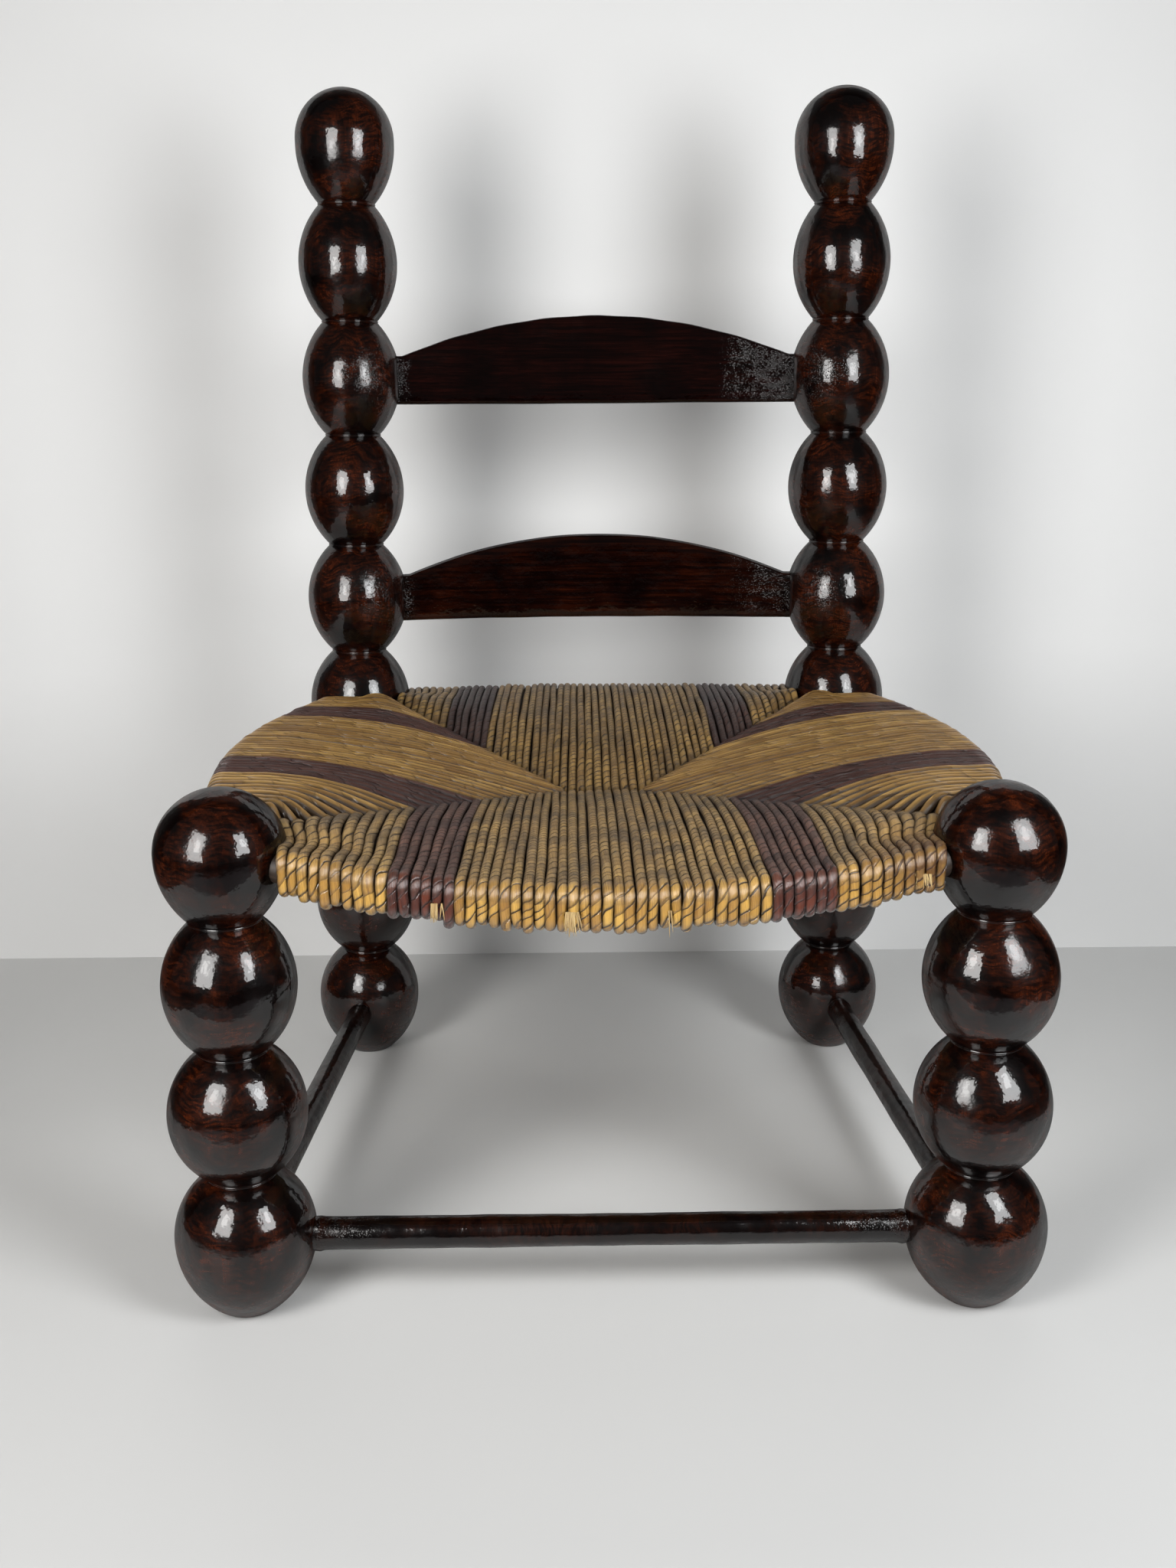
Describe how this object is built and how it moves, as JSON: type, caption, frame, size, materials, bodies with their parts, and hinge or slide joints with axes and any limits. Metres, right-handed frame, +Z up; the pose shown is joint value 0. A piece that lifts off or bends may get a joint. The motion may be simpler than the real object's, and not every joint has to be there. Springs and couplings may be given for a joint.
{
  "type": "bobbin chair",
  "caption": "Low armless chair with posts turned as stacked balls, bowed back slats, round stretchers and a rush seat with dyed bands.",
  "frame": {"origin": "on the floor under the middle of the chair's overall size in X and Y", "axes": "+Z up, -Y to the front of the chair, +X to the right of somebody who looks at its front"},
  "size_m": [0.5146, 0.465, 0.7372],
  "materials": {
    "dark_wood": "high-gloss dark red-brown lacquer",
    "rail_wood": "plain wood, hidden in the seat",
    "natural_rush": "twisted natural rush, dull gold with grey and brown dirt",
    "dyed_rush": "twisted rush dyed purple-brown"
  },
  "bodies": {
    "root": {"back_post_left": "dark_wood", "back_post_right": "dark_wood", "front_post_left": "dark_wood", "front_post_right": "dark_wood", "upper_slat": "dark_wood", "lower_slat": "dark_wood", "front_stretcher": "dark_wood", "side_stretcher_left": "dark_wood", "side_stretcher_right": "dark_wood", "front_rail": "rail_wood", "right_rail": "rail_wood", "back_rail": "rail_wood", "left_rail": "rail_wood", "front_rush_natural": "natural_rush", "front_rush_dyed": "dyed_rush", "right_rush_natural": "natural_rush", "right_rush_dyed": "dyed_rush", "back_rush_natural": "natural_rush", "back_rush_dyed": "dyed_rush", "left_rush_natural": "natural_rush", "left_rush_dyed": "dyed_rush"}
  },
  "joints": []
}
